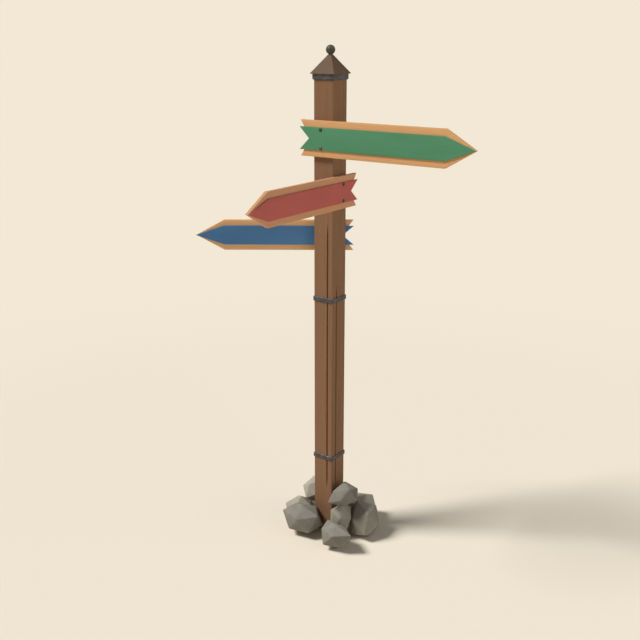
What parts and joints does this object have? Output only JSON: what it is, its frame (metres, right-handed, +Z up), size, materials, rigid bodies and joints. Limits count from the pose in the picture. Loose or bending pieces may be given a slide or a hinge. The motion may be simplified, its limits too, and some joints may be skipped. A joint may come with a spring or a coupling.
{
  "type": "fingerpost sign",
  "caption": "Square timber fingerpost with pointed arrow boards and painted panels, iron bands, a pyramid cap with a ball finial, and a heap of broken stone at its foot.",
  "frame": {"origin": "middle of the post's foot, at ground level", "axes": "+Z up along the post; the upper arm lies on the post's -Y face and points to +X; the middle arm lies on the +X face and points to -Y"},
  "size_m": [1.5043, 1.035, 2.7273],
  "materials": {
    "post_timber": "stained, weathered, grain upright",
    "cap_timber": "dark stain, matte",
    "board_timber": "oiled, grain along the arm",
    "green_paint": "green paint, eggshell",
    "red_paint": "dull red paint, eggshell",
    "blue_paint": "blue paint, eggshell",
    "black_iron": "blackened, matte",
    "finial_iron": "blackened, worn smooth",
    "screw_iron": "blackened, round heads",
    "grey_stone": "broken faces, dusty"
  },
  "bodies": {
    "root": {"post": "post_timber", "cap": "cap_timber", "cap_collar": "black_iron", "finial": "finial_iron", "upper_band": "black_iron", "lower_band": "black_iron", "upper_arm_board": "board_timber", "upper_arm_panel": "green_paint", "middle_arm_board": "board_timber", "middle_arm_panel": "red_paint", "lower_arm_board": "board_timber", "lower_arm_panel": "blue_paint", "arm_screws": "screw_iron", "wedge_stone": "grey_stone", "front_left_stone": "grey_stone", "front_stone": "grey_stone", "right_stone": "grey_stone", "right_rear_stone": "grey_stone", "left_stone": "grey_stone", "rear_stone": "grey_stone", "left_rear_stone": "grey_stone", "upper_right_stone": "grey_stone", "upper_left_stone": "grey_stone"}
  },
  "joints": []
}
